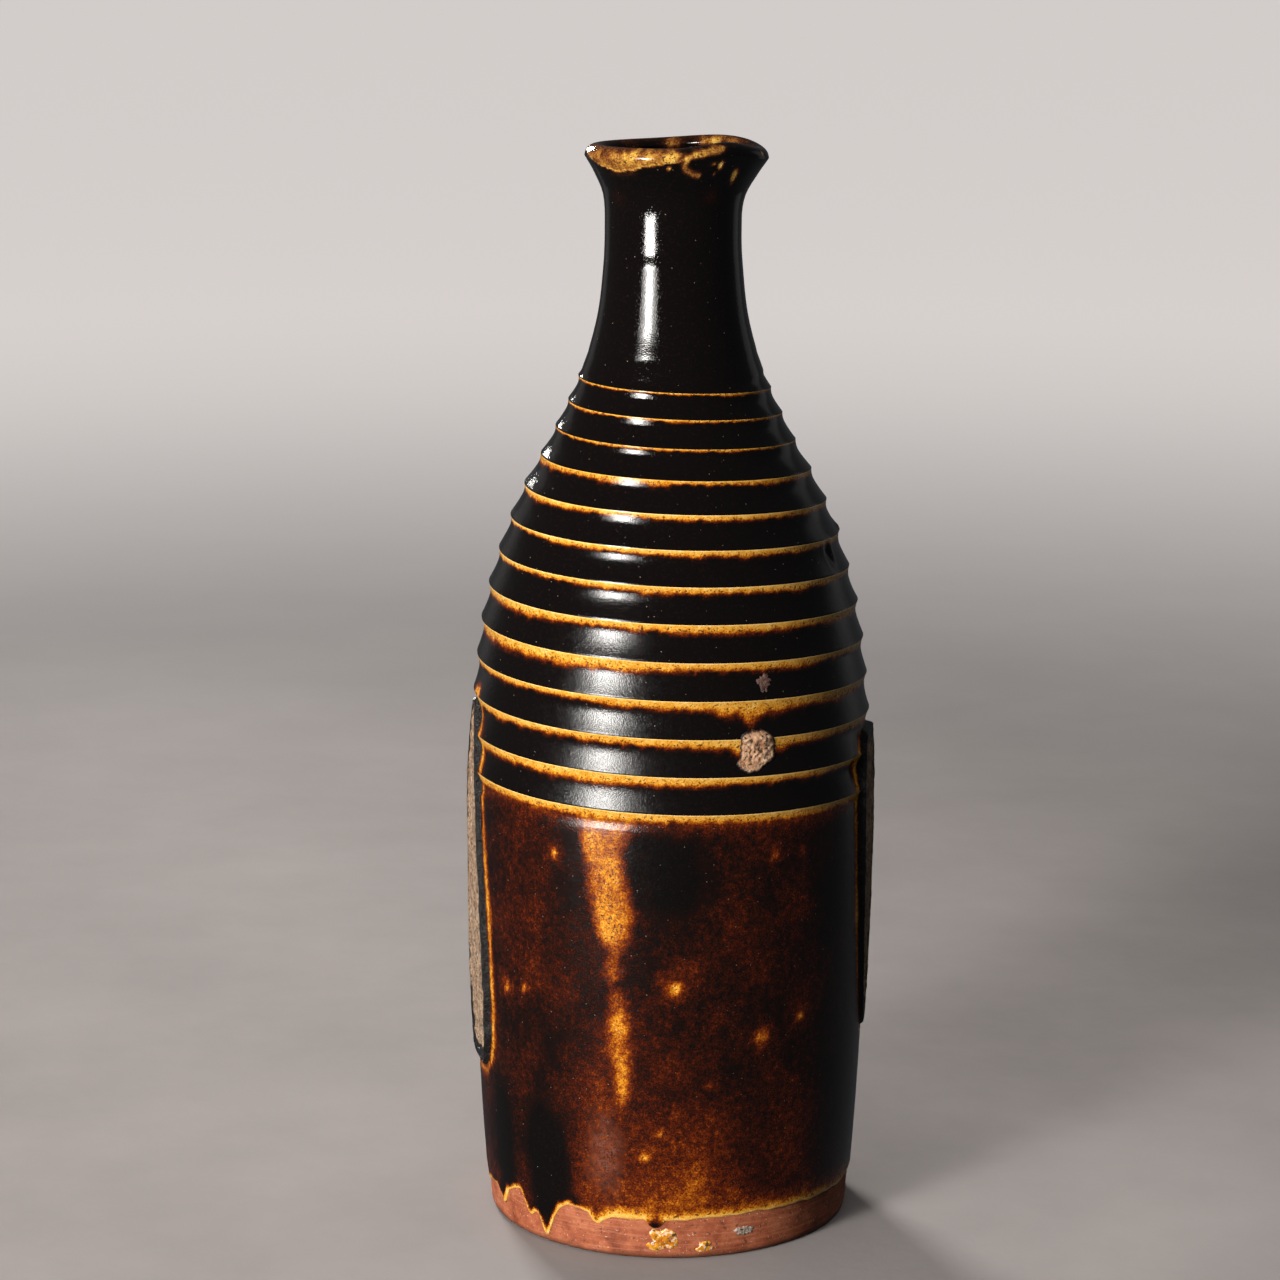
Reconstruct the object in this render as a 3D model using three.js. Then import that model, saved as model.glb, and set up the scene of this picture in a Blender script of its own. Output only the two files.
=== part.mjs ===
// A tall sake bottle: one thrown stoneware body with a spiral ridge round its shoulder, an iron
// glaze poured over the outside and another poured through the inside. Two flat scars show where
// its neighbours in the kiln were broken off, and a few crusts and drops are fused to it.
// Millimetres, +Z up. The origin is the middle of the flat base, and the front faces -Y.
import * as THREE from "three";
import { mergeVertices } from "three/addons/utils/BufferGeometryUtils.js";

// Driving dimensions
const RIM_HEIGHT = 285;
const BELLY_RADIUS = 52.9;
const BASE_RADIUS = 48.6;
const NECK_RADIUS = 17.6;
const LIP_RADIUS = 22.9;
const LIP_CREST_RADIUS = 20; // the highest ring of the rounded lip
const LIP_RISE = 3; // from the widest part of the lip up to its crest
const LIP_INWARD = 2.6; // from the crest of the lip in to the edge of the throat
const WALL_AT_FOOT = 6.3; // wall thickness, thinning steadily towards the rim
const WALL_AT_RIM = 4.3;
const FLOOR_HEIGHT = 9; // top of the glaze inside
const FLOOR_FILLET = 13;
const GLAZE = 0.6; // thickness of either coat of glaze
const GLAZE_LINE = 11; // height at which the outer glaze stops above the bare foot
const GLAZE_LIP = 0.5; // bare clay left just below the outer glaze's lower edge
const BASE_EDGE = 1.2; // how far the flat base is rounded off round its edge
const THROAT_SEAM = 268; // height at which the outer glaze stops inside the throat
const GAP = 0.3; // left between pieces that touch
const SEGMENTS = 24;

// The spiral ridge: it falls from left to right across the front, and its pitch swells downwards
const SPIRAL_TOP = 223.8; // height of the first turn at the front
const PITCH_AT_TOP = 6.1;
const PITCH_GAIN = 3.6;
const PITCH_GAIN_TURNS = 10.1;
const FIRST_TURN = -0.5;
const LAST_TURN = 12.5;
const CREST = 0.55; // how far the crest stands out of the mean surface
const GROOVE = 0.45; // how far the groove just below it is cut in
const STEP = 0.3; // part of a turn's pitch taken by the steep face from crest to groove
const FADE_TURNS = 0.25; // the ridge fades in and out over this part of a turn

const FRONT = -Math.PI / 2;
const smooth = THREE.MathUtils.smoothstep;
const degrees = THREE.MathUtils.degToRad;

// The smooth outside of the bottle, as radius and height, from the base to the widest part of the lip
const OUTSIDE = [
  [BASE_RADIUS, 0],
  [50.6, 30],
  [51.9, 60],
  [52.7, 90],
  [BELLY_RADIUS, 108],
  [52.3, 130],
  [50.9, 150],
  [48.7, 165],
  [44.8, 180],
  [39, 195],
  [31.1, 210],
  [24.2, 225],
  [19.7, 240],
  [17.9, 255],
  [NECK_RADIUS, 263],
  [18.1, 272],
  [20.6, 278],
  [LIP_RADIUS, 282],
];

// Radius of the smooth outside at a height: a cubic through the points with averaged slopes
function outsideRadius(height) {
  const last = OUTSIDE.length - 1;
  const found = OUTSIDE.findIndex(([, z]) => z > height);
  const k = found < 0 ? last - 1 : Math.max(found - 1, 0);
  const slope = (i) => {
    const a = OUTSIDE[Math.max(i - 1, 0)];
    const b = OUTSIDE[Math.min(i + 1, last)];
    return (b[0] - a[0]) / (b[1] - a[1]);
  };
  const [r0, z0] = OUTSIDE[k];
  const [r1, z1] = OUTSIDE[k + 1];
  const span = z1 - z0;
  const t = (height - z0) / span;
  return (
    r0 * (1 + 2 * t) * (1 - t) ** 2 +
    r1 * t * t * (3 - 2 * t) +
    span * (slope(k) * t * (1 - t) ** 2 - slope(k + 1) * t * t * (1 - t))
  );
}

const wallAt = (height) => THREE.MathUtils.lerp(WALL_AT_FOOT, WALL_AT_RIM, height / RIM_HEIGHT);
const insideRadius = (height) => outsideRadius(height) - wallAt(height);

// The rim isn't level: it lifts on both sides of a shallow pouring dip on the right, and the dip
// spreads outwards. Directions and widths are in degrees round the bottle.
const RIM_LIFTS = [
  { at: -50, width: 24, size: 1.4 },
  { at: 50, width: 40, size: 1.3 },
  { at: -3, width: 20, size: -0.9 },
];
const RIM_SPREAD = { at: -3, width: 24, size: 1.6 };
const RIM_ZONE = [266, 284]; // heights over which the lift and the spread grow

const bump = (angle, { at, width, size }) => {
  const beside = angle - degrees(at);
  const away = Math.atan2(Math.sin(beside), Math.cos(beside));
  return size * Math.exp(-((away / degrees(width)) ** 2));
};
const rimLift = (angle) => RIM_LIFTS.reduce((sum, lift) => sum + bump(angle, lift), 0);
const rimSpread = (angle) => bump(angle, RIM_SPREAD);

// A point of the wall's outside or inside: radius, height, and the direction out of the clay there
function wallPoint(radiusAt, height, side) {
  const slope = radiusAt(height + 0.5) - radiusAt(height - 0.5);
  const length = Math.hypot(1, slope);
  return { r: radiusAt(height), z: height, out: [side / length, (-side * slope) / length] };
}
const outsidePoint = (height) => wallPoint(outsideRadius, height, 1);
const insidePoint = (height) => wallPoint(insideRadius, height, -1);

// Height of the ridge's crest after so many turns, counted from the first turn at the front
function spiralHeight(turns) {
  const swell = (2 * PITCH_GAIN_TURNS) / Math.PI;
  return SPIRAL_TOP - PITCH_AT_TOP * turns - PITCH_GAIN * swell * (1 - Math.cos(turns / swell));
}

// How far the surface stands out, a given part of a turn's pitch below the crest
function ridgeHeight(part) {
  if (part < STEP) return THREE.MathUtils.lerp(CREST, -GROOVE, part / STEP);
  return THREE.MathUtils.lerp(-GROOVE, CREST, ((part - STEP) / (1 - STEP)) ** 1.3);
}

// A row of the ridged shoulder: it climbs with the spiral as it goes round
const spiralRow = (start, part) => (turn) => {
  const turns = THREE.MathUtils.clamp(start + turn, FIRST_TURN, LAST_TURN);
  const begun = smooth(turns, FIRST_TURN, FIRST_TURN + FADE_TURNS);
  const ended = smooth(turns, LAST_TURN - FADE_TURNS, LAST_TURN);
  const point = outsidePoint(spiralHeight(turns));
  point.r += begun * (1 - ended) * ridgeHeight(part);
  return point;
};
const levelRow = (point) => () => ({ ...point, out: [...point.out] });

function spiralRows() {
  const rows = [];
  for (let whole = FIRST_TURN - 1; whole <= LAST_TURN; whole += 1) {
    for (const part of [0, STEP, (1 + STEP) / 2]) {
      rows.push(spiralRow(Math.floor(whole) + part, part));
    }
  }
  return rows.reverse(); // from the bottom up
}

// The rounded top of the lip, from its widest point over the crest to the edge of the throat
function lipRows() {
  const rows = [];
  const foot = RIM_HEIGHT - LIP_RISE;
  for (const lean of [30, 60, 90, 125, 160]) {
    const turn = degrees(lean);
    const reach = lean < 90 ? LIP_RADIUS - LIP_CREST_RADIUS : LIP_INWARD;
    const out = [Math.cos(turn), Math.sin(turn)];
    rows.push(levelRow({ r: LIP_CREST_RADIUS + reach * out[0], z: foot + LIP_RISE * out[1], out }));
  }
  return rows;
}

const outsideRows = (heights) => heights.map((z) => levelRow(outsidePoint(z)));
const insideRows = (heights) => heights.map((z) => levelRow(insidePoint(z)));

// The outside of the outer glaze, from the glaze line up over the lip and down into the throat
const outerCoat = [
  ...outsideRows([GLAZE_LINE, 30, 60, 85, 105]),
  ...spiralRows(),
  ...outsideRows([236, 247, 258, 267, 273, 278, 282]),
  ...lipRows(),
  ...insideRows([277, 272, THROAT_SEAM]),
];

// The outside of the inner glaze, from the throat down to the middle of the floor
const INSIDE_HEIGHTS = [262, 252, 242, 232, 220, 208, 194, 180, 165, 148, 125, 95, 60];
function innerCoatRows() {
  const filletTop = FLOOR_HEIGHT + FLOOR_FILLET;
  const centre = insideRadius(filletTop) - FLOOR_FILLET;
  const rows = insideRows([THROAT_SEAM - GAP, ...INSIDE_HEIGHTS, filletTop]);
  for (const lean of [30, 60, 90]) {
    const out = [-Math.cos(degrees(lean)), Math.sin(degrees(lean))];
    const r = centre - FLOOR_FILLET * out[0];
    rows.push(levelRow({ r, z: filletTop - FLOOR_FILLET * out[1], out }));
  }
  rows.push(levelRow({ r: 0, z: FLOOR_HEIGHT, out: [0, 1] }));
  return rows;
}
const innerCoat = innerCoatRows();

// The same row, sunk into the clay by a depth
const sunk = (row, depth) => (turn) => {
  const { r, z, out } = row(turn);
  return { r: Math.max(r - depth * out[0], 0), z: z - depth * out[1], out };
};
const tidy = (value) => Math.round(value * 1e4) / 1e4;

// A closed body turned from rows of points, each of which may climb as it goes round
function turned(rows) {
  const geometry = new THREE.LatheGeometry(rows.map(() => new THREE.Vector2(1, 0)), SEGMENTS);
  const place = geometry.getAttribute("position");
  for (let side = 0; side <= SEGMENTS; side += 1) {
    const turn = side / SEGMENTS;
    const angle = FRONT + 2 * Math.PI * (side % SEGMENTS) / SEGMENTS;
    rows.forEach((row, j) => {
      const { r, z } = row(turn);
      const high = smooth(z, ...RIM_ZONE);
      const radius = r + (r > 0 ? rimSpread(angle) * high : 0);
      const height = z + rimLift(angle) * high;
      place.setXYZ(
        side * rows.length + j,
        tidy(radius * Math.cos(angle)),
        tidy(radius * Math.sin(angle)),
        tidy(height),
      );
    });
  }
  geometry.setIndex(shortDiagonals(place, rows.length));
  return closed(geometry);
}

// Splits each four-sided face of a turned grid along its shorter diagonal, so that two pieces
// that share a surface share its triangles too, whichever way their rows run
function shortDiagonals(place, count) {
  const corner = (i) => new THREE.Vector3().fromBufferAttribute(place, i);
  const apart = (i, j) => corner(i).distanceTo(corner(j));
  const index = [];
  for (let side = 0; side < SEGMENTS; side += 1) {
    for (let j = 0; j < count - 1; j += 1) {
      const a = side * count + j;
      const [b, c, d] = [a + count, a + count + 1, a + 1];
      if (apart(a, c) < apart(b, d)) index.push(a, b, c, a, c, d);
      else index.push(a, b, d, b, c, d);
    }
  }
  return index;
}

// Joins the points that lie together and drops the triangles that this leaves with no area
function closed(geometry) {
  geometry.deleteAttribute("normal");
  geometry.deleteAttribute("uv");
  const merged = mergeVertices(geometry, 1e-3);
  const kept = [];
  const index = merged.getIndex().array;
  for (let i = 0; i < index.length; i += 3) {
    const [a, b, c] = index.slice(i, i + 3);
    if (a !== b && b !== c && c !== a) kept.push(a, b, c);
  }
  merged.setIndex(kept);
  merged.computeVertexNormals();
  return merged;
}

// The clay: a flat base, a bare foot, the surface under both coats, and a bare ring between them
function clayBody() {
  const bare = GLAZE_LINE - GLAZE_LIP;
  const foot = [0, BASE_EDGE, bare].map((z) => ({ ...outsidePoint(z), out: [1, 0] }));
  const base = sunk(levelRow(foot[0]), GLAZE + BASE_EDGE);
  return turned([
    levelRow({ r: 0, z: 0, out: [0, -1] }),
    base,
    ...foot.slice(1).map((point) => sunk(levelRow(point), GLAZE)),
    ...outerCoat.map((row) => sunk(row, GLAZE)),
    ...innerCoat.map((row) => sunk(row, GLAZE)),
  ]);
}

// A coat of glaze: its outside, its underside one glaze thickness in, and back to where it began
function glazeCoat(rows) {
  const underside = rows.map((row) => sunk(row, GLAZE)).reverse();
  return turned([...rows, ...underside, rows[0]]);
}

// Something fused to the wall: a curved slab whose outline and thickness are functions of its
// place, with u across it and v up it, both from -1 to 1
function fused({ angle, height, halfHeight, halfAngle, seat, thickness, across = 4, up = 4 }) {
  const at = (u, v, top) => {
    const reach = halfAngle(v) * u;
    const z = height + halfHeight * v;
    const r = seat(z) + (top ? thickness(u, v, degrees(reach), z) : 0);
    const turn = degrees(angle + reach);
    return new THREE.Vector3(r * Math.cos(turn), r * Math.sin(turn), z);
  };
  const sheet = (top) => {
    const points = [];
    for (let j = 0; j <= up; j += 1) {
      for (let i = 0; i <= across; i += 1) {
        points.push(at((2 * i) / across - 1, -Math.cos((Math.PI * j) / up), top));
      }
    }
    return points;
  };
  const points = [...sheet(true), ...sheet(false)];
  const width = across + 1;
  const lower = points.length / 2;
  const index = [];
  const quad = (a, b, c, d) => index.push(a, b, c, a, c, d);
  for (let j = 0; j < up; j += 1) {
    for (let i = 0; i < across; i += 1) {
      const a = j * width + i;
      quad(a, a + 1, a + width + 1, a + width);
      quad(lower + a, lower + a + width, lower + a + width + 1, lower + a + 1);
    }
    const left = j * width;
    const right = left + across;
    quad(left, left + width, lower + left + width, lower + left);
    quad(right, lower + right, lower + right + width, right + width);
  }
  for (let i = 0; i < across; i += 1) {
    const far = up * width + i;
    quad(i, lower + i, lower + i + 1, i + 1);
    quad(far, far + 1, lower + far + 1, lower + far);
  }
  const geometry = new THREE.BufferGeometry().setFromPoints(points);
  geometry.setIndex(index);
  return closed(geometry);
}

// What is fused to the glaze clears the crest of the ridges, which end between these heights
const LOWEST_CREST = [112, 120];
const onGlaze = (z) => outsideRadius(z) + GAP + CREST * smooth(z, ...LOWEST_CREST);
const onFoot = (z) => outsideRadius(z) - GLAZE + GAP;

// A kiln scar is broken off flat, so its face is a plane and it is thickest along its edges
const SCAR_THICKNESS = 0.8; // in the middle
const SCAR_LEAST = 0.5;
const SCAR_FLATNESS = 0.8; // 1 is a true plane, 0 follows the wall
const SIDE_THINNING = 0.5; // how much of the thickness is lost along the sides
const END_THINNING = 0.6; // and at the two ends
const scarThickness = (u, v, reach, z) => {
  const wall = outsideRadius(z);
  const plane = (wall + SCAR_THICKNESS) / Math.cos(SCAR_FLATNESS * reach) - wall;
  const thinning = (1 - SIDE_THINNING * u ** 8) * (1 - END_THINNING * v ** 10);
  return Math.max(plane * thinning, SCAR_LEAST);
};
// Half the width of a scar, blunt at one end and drawn out to a point at the other
const teardrop = (widest, lean, round) => (v) => {
  const along = THREE.MathUtils.clamp((v + 1) / 2, 0.003, 0.997);
  return widest * Math.sin(Math.PI * along ** lean) ** round;
};
const leftShape = teardrop(13, 0.45, 0.5);
const rightShape = teardrop(14, 0.5, 0.5);

// A drop or a crust: a low dome with a rounded outline and a blunt edge
const DOME_EDGE = 0.3;
const BLUNT_END = 0.02;
const oval = (widest) => (v) => widest * Math.sqrt(Math.max(1 - v * v, BLUNT_END));
const dome = (rise) => (u, v) => DOME_EDGE + rise * (1 - u ** 4) * (1 - v ** 4);

const clay = { color: 0xa8624a, roughness: 0.85, metalness: 0 };
const darkGlaze = { color: 0x1c0d07, roughness: 0.12, metalness: 0 };
const insideGlaze = { color: 0x120a07, roughness: 0.2, metalness: 0 };
const brokenClay = { color: 0x7d6a5c, roughness: 0.9, metalness: 0 };
const amberGlaze = { color: 0xb87a2a, roughness: 0.25, metalness: 0 };

const pieces = [
  ["clay_body", clayBody(), clay],
  ["outer_glaze", glazeCoat(outerCoat), darkGlaze],
  ["inner_glaze", glazeCoat(innerCoat), insideGlaze],
  [
    "kiln_scar_left",
    fused({
      angle: -168,
      height: 92,
      halfHeight: 50,
      halfAngle: leftShape,
      seat: onGlaze,
      thickness: scarThickness,
      across: 8,
      up: 16,
    }),
    brokenClay,
  ],
  [
    "kiln_scar_right",
    fused({
      angle: -8,
      height: 92.5,
      halfHeight: 41.5,
      halfAngle: (v) => rightShape(-v),
      seat: onGlaze,
      thickness: scarThickness,
      across: 8,
      up: 14,
    }),
    brokenClay,
  ],
  [
    "shoulder_grit",
    fused({
      angle: -65.6,
      height: 136,
      halfHeight: 5.6,
      halfAngle: oval(6.4),
      seat: onGlaze,
      thickness: dome(0.7),
    }),
    brokenClay,
  ],
  [
    "shoulder_grit_small",
    fused({
      angle: -62.1,
      height: 153.2,
      halfHeight: 2.6,
      halfAngle: oval(2.4),
      seat: onGlaze,
      thickness: dome(0.3),
    }),
    brokenClay,
  ],
  [
    "foot_splash_front",
    fused({
      angle: -92,
      height: 5.6,
      halfHeight: 3.3,
      halfAngle: oval(5.2),
      seat: onFoot,
      thickness: dome(0.4),
    }),
    amberGlaze,
  ],
  [
    "foot_splash_right",
    fused({
      angle: -78.6,
      height: 3.5,
      halfHeight: 1.6,
      halfAngle: oval(3.2),
      seat: onFoot,
      thickness: dome(0.3),
    }),
    amberGlaze,
  ],
  [
    "foot_crust",
    fused({
      angle: -65.8,
      height: 6.8,
      halfHeight: 1.5,
      halfAngle: oval(3.8),
      seat: onFoot,
      thickness: dome(0.3),
    }),
    brokenClay,
  ],
];

const bottle = new THREE.Group();
for (const [name, geometry, look] of pieces) {
  const mesh = new THREE.Mesh(geometry, new THREE.MeshStandardMaterial(look));
  mesh.name = name;
  bottle.add(mesh);
}

export default bottle;
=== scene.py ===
# The looks of a tall stoneware sake bottle: an iron glaze that is black where it lies thick and
# amber where it runs thin, over a spiral ridge, with the scars and crusts that the kiln left on it.
# Angles are degrees about the bottle's axis, -90 is the front; lengths are millimetres until mesh
# data is written, in metres.
import math

import bpy
import numpy as np
from mathutils import Matrix, Vector, noise


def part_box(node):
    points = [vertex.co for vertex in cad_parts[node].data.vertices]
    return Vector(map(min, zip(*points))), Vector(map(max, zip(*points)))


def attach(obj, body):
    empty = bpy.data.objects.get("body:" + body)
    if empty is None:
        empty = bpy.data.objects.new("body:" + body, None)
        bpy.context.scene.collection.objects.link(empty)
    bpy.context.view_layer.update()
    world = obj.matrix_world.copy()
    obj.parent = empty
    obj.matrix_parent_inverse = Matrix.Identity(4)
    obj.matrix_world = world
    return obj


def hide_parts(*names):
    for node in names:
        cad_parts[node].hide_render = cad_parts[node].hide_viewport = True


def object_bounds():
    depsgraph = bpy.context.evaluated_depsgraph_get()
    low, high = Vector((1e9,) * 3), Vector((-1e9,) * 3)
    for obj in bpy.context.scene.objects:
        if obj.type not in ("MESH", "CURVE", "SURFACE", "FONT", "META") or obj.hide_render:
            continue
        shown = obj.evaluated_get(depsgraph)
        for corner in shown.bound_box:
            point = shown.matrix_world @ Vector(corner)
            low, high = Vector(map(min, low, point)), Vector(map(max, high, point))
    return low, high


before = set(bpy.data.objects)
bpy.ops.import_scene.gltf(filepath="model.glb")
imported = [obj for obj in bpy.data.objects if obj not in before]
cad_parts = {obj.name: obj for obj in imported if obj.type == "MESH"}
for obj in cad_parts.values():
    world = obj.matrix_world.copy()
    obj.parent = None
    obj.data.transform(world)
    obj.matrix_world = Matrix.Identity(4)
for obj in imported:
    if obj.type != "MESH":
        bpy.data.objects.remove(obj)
CAD_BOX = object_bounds()

MM = 0.001
FRONT = -90
FAR = 99.0  # out of reach of any mark on the wall
LOW = np.array(CAD_BOX[0]) / MM
HIGH = np.array(CAD_BOX[1]) / MM


def node_box(name):
    """A CAD node's lowest and highest corners, in millimetres."""
    low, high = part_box(name)
    return np.array(low) / MM, np.array(high) / MM


# ---- the bottle's form

BASE_R = 48.6
NECK_R = 17.6
LIP_R = 22.9
RIM_Z = 285.0
GLAZE = 0.6
FLOOR_Z = node_box("inner_glaze")[0][2] + GLAZE
THROAT_SEAM = node_box("inner_glaze")[1][2]
FLOOR_FILLET = 13.0
WALL_AT_FOOT = 6.3
WALL_AT_RIM = 4.3
BASE_HOLLOW = 0.35
FOOT_ROUND = 1.6
CLEAR = 0.03
CLAY_UNDER = 1.7  # how far the clay lies below the smooth outside, under glaze and grooves

# The smooth outside as the CAD part has it: radius and height, from the base to the lip
OUTSIDE = np.array([
    (BASE_R, 0), (50.6, 30), (51.9, 60), (52.7, 90), (52.9, 108), (52.3, 130), (50.9, 150),
    (48.7, 165), (44.8, 180), (39, 195), (31.1, 210), (24.2, 225), (19.7, 240), (17.9, 255),
    (NECK_R, 263), (18.1, 272), (20.6, 278), (LIP_R, 282),
])

SPIRAL_TOP = 223.8
PITCH_AT_TOP = 6.1
PITCH_GAIN = 3.6
PITCH_GAIN_TURNS = 10.1
FIRST_TURN = -0.5
LAST_TURN = 12.5
FADE_TURNS = 0.25
STEP = 0.38  # part of the pitch from a crest down to the bottom of the groove under it


def smooth(x, low, high):
    t = np.clip((np.asarray(x, float) - low) / (high - low), 0, 1)
    return t * t * (3 - 2 * t)


def outside_radius(z):
    """The smooth outside: a cubic through its points with averaged slopes."""
    z = np.asarray(z, float)
    r, h = OUTSIDE.T
    last = len(h) - 1
    below = np.maximum(np.arange(last + 1) - 1, 0)
    above = np.minimum(np.arange(last + 1) + 1, last)
    slope = (r[above] - r[below]) / (h[above] - h[below])
    k = np.clip(np.searchsorted(h, z, side="right") - 1, 0, last - 1)
    span = h[k + 1] - h[k]
    t = (z - h[k]) / span
    ends = r[k] * (1 + 2 * t) * (1 - t) ** 2 + r[k + 1] * t * t * (3 - 2 * t)
    return ends + span * (slope[k] * t * (1 - t) ** 2 - slope[k + 1] * t * t * (1 - t))


def inside_radius(z):
    return outside_radius(z) - (WALL_AT_FOOT + (WALL_AT_RIM - WALL_AT_FOOT) * np.asarray(z) / RIM_Z)


def spiral_height(turns):
    swell = 2 * PITCH_GAIN_TURNS / math.pi
    return SPIRAL_TOP - PITCH_AT_TOP * turns - PITCH_GAIN * swell * (1 - np.cos(turns / swell))


TURNS = np.linspace(FIRST_TURN - 1, LAST_TURN + 1, 400)


def turns_at(z):
    return np.interp(-np.asarray(z, float), -spiral_height(TURNS), TURNS)


def pitch_at(turns):
    return spiral_height(turns) - spiral_height(turns + 1)


def wave(angle, *terms):
    """A slow waviness round the bottle: each term is cycles, size and phase in degrees."""
    turn = np.radians(angle)
    return sum(size * np.cos(n * turn + math.radians(phase)) for n, size, phase in terms)


def wrapped(angle):
    return (np.asarray(angle, float) + 180) % 360 - 180


def away(angle, at):
    return wrapped(np.asarray(angle) - at)


def last_crest(angle):
    """Height of the lowest crest at an angle."""
    return spiral_height(LAST_TURN - 0.5 + away(angle, FRONT) / 360)


def turned_by(angle):
    """The part of a turn from the front round to an angle."""
    return ((np.asarray(angle) - FRONT) / 360) % 1.0


def bump(angle, at, width):
    return np.exp(-((away(angle, at) / width) ** 2))


def ridge(part, turns, angle):
    """How far the ridge stands out: a sharp crest with a hollow face below it, down to the next."""
    size = 0.68 + 0.36 * smooth(turns, 0, 5)
    size = size * (1 + wave(angle + 47 * turns, (2, 0.08, 20), (5, 0.06, 80)))
    fade = smooth(turns, FIRST_TURN, FIRST_TURN + FADE_TURNS)
    fade = fade * (1 - smooth(turns, LAST_TURN - FADE_TURNS, LAST_TURN))
    above = np.clip(1 - part / STEP, 0, 1)
    below = np.clip((part - STEP) / (1 - STEP), 0, 1)
    level = 1.06 * (above ** 1.8 + below ** 1.6) - 0.52
    return fade * size * level


# Small shapes of the glazed wall: how far each stands out, its angle and height, its size across and up
WALL_MARKS = [
    (0.75, (-22.8, 181.5), 2.9, 3.9), (-1.725, (-22.8, 181.5), 1.8, 2.7),  # rim and pit of a burst bubble
    (0.75, (0.5, 185.7), 1.6, 1.3),  # a wart
    (0.25, (-82, 281.5), 1.8, 2.4), (-0.3, (-73, 280.6), 2.6, 1.6),  # slumps under the lip
    (0.35, (-30, 279), 4, 3),
    (-0.28, (-57.1, 279.6), 1, 1), (-0.28, (-41, 277), 1.4, 1.4),  # pinholes under the lip
    (-0.28, (-144.3, 68.7), 1, 1), (-0.28, (-88.4, 74.8), 0.9, 0.9),  # and in the lower wall
    (-0.7, (-165.7, 135.5), 2, 2.6), (-0.7, (-165.5, 128.3), 2, 2.6),  # hollows at the scars' tops
    (-0.7, (-24.1, 126.3), 2, 2.6),
]


def spot(angle, z, at, across, up=None):
    """1 at a place on the wall, falling to 0 over a size in millimetres."""
    up = up or across
    dx = math.radians(1) * away(angle, at[0]) * outside_radius(at[1])
    return np.exp(-((dx / across) ** 2 + ((z - at[1]) / up) ** 2))


def wall_detail(angle, z):
    """How far the glazed wall stands out: its small shapes, a soft ledge under the lip, a ring at the
    neck's root, and the slow unevenness of a wall thrown by hand."""
    out = sum(stand * spot(angle, z, at, across, up) for stand, at, across, up in WALL_MARKS)
    ledge = 0.32 * (smooth(z, 254.2, 258.2) - smooth(z, 258.2, 276)) * bump(angle, -110, 60)
    ring = 0.1 * np.exp(-(((z - 231) / 1.3) ** 2))
    slow = wave(angle, (2, 0.1, 30), (3, 0.05, 100)) * (1 - 0.5 * smooth(z, 100, 200))
    return out + ledge - ring + slow


def rim_lift(angle):
    return 1.4 * bump(angle, -50, 24) + 1.3 * bump(angle, 50, 40) - 0.9 * bump(angle, -3, 20)


def rim_spread(angle):
    return 1.6 * bump(angle, -3, 24)


def warped(angle, r, z):
    """The rim's lift and spread, as the CAD part has them."""
    high = smooth(z, 266, 284)
    return r + rim_spread(angle) * high, z + rim_lift(angle) * high


# ---- the glaze line above the foot

# Where the pour ran down and stopped: angle and height
GLAZE_EDGE = [
    (-180, 9.6), (-176, 10.6), (-172, 10.2), (-169, 7.6), (-167.5, 8.2), (-165, 8.9), (-158.3, 9.1),
    (-155, 7), (-153.3, 5.5), (-151.6, 7.2), (-149.8, 10.2), (-145.8, 11.8), (-142.4, 12.4),
    (-141, 10.2), (-138.8, 6.8), (-137.4, 6.4), (-135.6, 7.8), (-134, 7.4), (-132.6, 4.4),
    (-131.6, 2.3), (-130.4, 2.3), (-129.2, 4.6), (-127.6, 8), (-125.4, 10.6), (-122, 12.5),
    (-118.2, 12.4), (-115.2, 11.5), (-113.6, 9.2), (-111.8, 8.6), (-110.4, 9.6), (-107, 10.9),
    (-101, 11.2), (-96.9, 10.9), (-95.4, 9.2), (-94, 8.7), (-92.4, 9.2), (-91, 10.9), (-86.4, 11.1),
    (-74.2, 11.5), (-61.1, 11.6), (-45.6, 11.1), (-23.5, 10.6), (-6, 11), (4, 11.8), (10, 9.4),
    (14, 8.8), (18, 11), (30, 12), (38, 11.4), (42, 6.6), (44.5, 5.6), (47, 8.4), (52, 11.6),
    (70, 12.2), (86, 11.2), (93, 11.6), (97, 8), (99.5, 7.2), (102, 10), (110, 12.2), (119, 11),
    (122, 5.6), (124.5, 4.4), (127, 8.4), (133, 11.6), (150, 11.8), (160, 10.4), (166, 9), (173, 10),
    (180, 9.6),
]


def glaze_line(angle):
    line = np.interp(wrapped(angle), *np.array(GLAZE_EDGE).T)
    return line + wave(angle, (23, 0.12, 0), (41, 0.1, 30), (67, 0.07, 80))


# ---- how thick the glaze lies

# Amber runs: height, left edge and right edge in degrees, from the top down
RUNS = [
    [(125, -119, -97.5), (120, -117.2, -98.8), (117, -115.9, -101.6), (110, -114, -103.8),
     (103, -113, -103), (98, -112.6, -101.5), (92, -111, -101), (88, -109.8, -102),
     (85, -107.4, -103.6), (83.6, -106, -105)],
    [(80.5, -107.2, -106), (78.5, -108.6, -103.8), (76.6, -107.6, -104.8), (75.8, -106.4, -106)],
    [(74, -105.6, -104.6), (71.5, -107.2, -102.6), (65, -107.3, -101.5), (58, -107, -100.7),
     (50, -105.9, -100.6), (45, -105.2, -101.6), (41.5, -104, -102.9)],
    [(118, 70, 84), (108, 73, 82), (96, 74, 83.5), (84, 76, 82), (72, 77.5, 80)],
    [(92, 131, 134), (80, 129.5, 135.5), (66, 130.5, 134.5), (52, 131.5, 133.5)],
]
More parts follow.
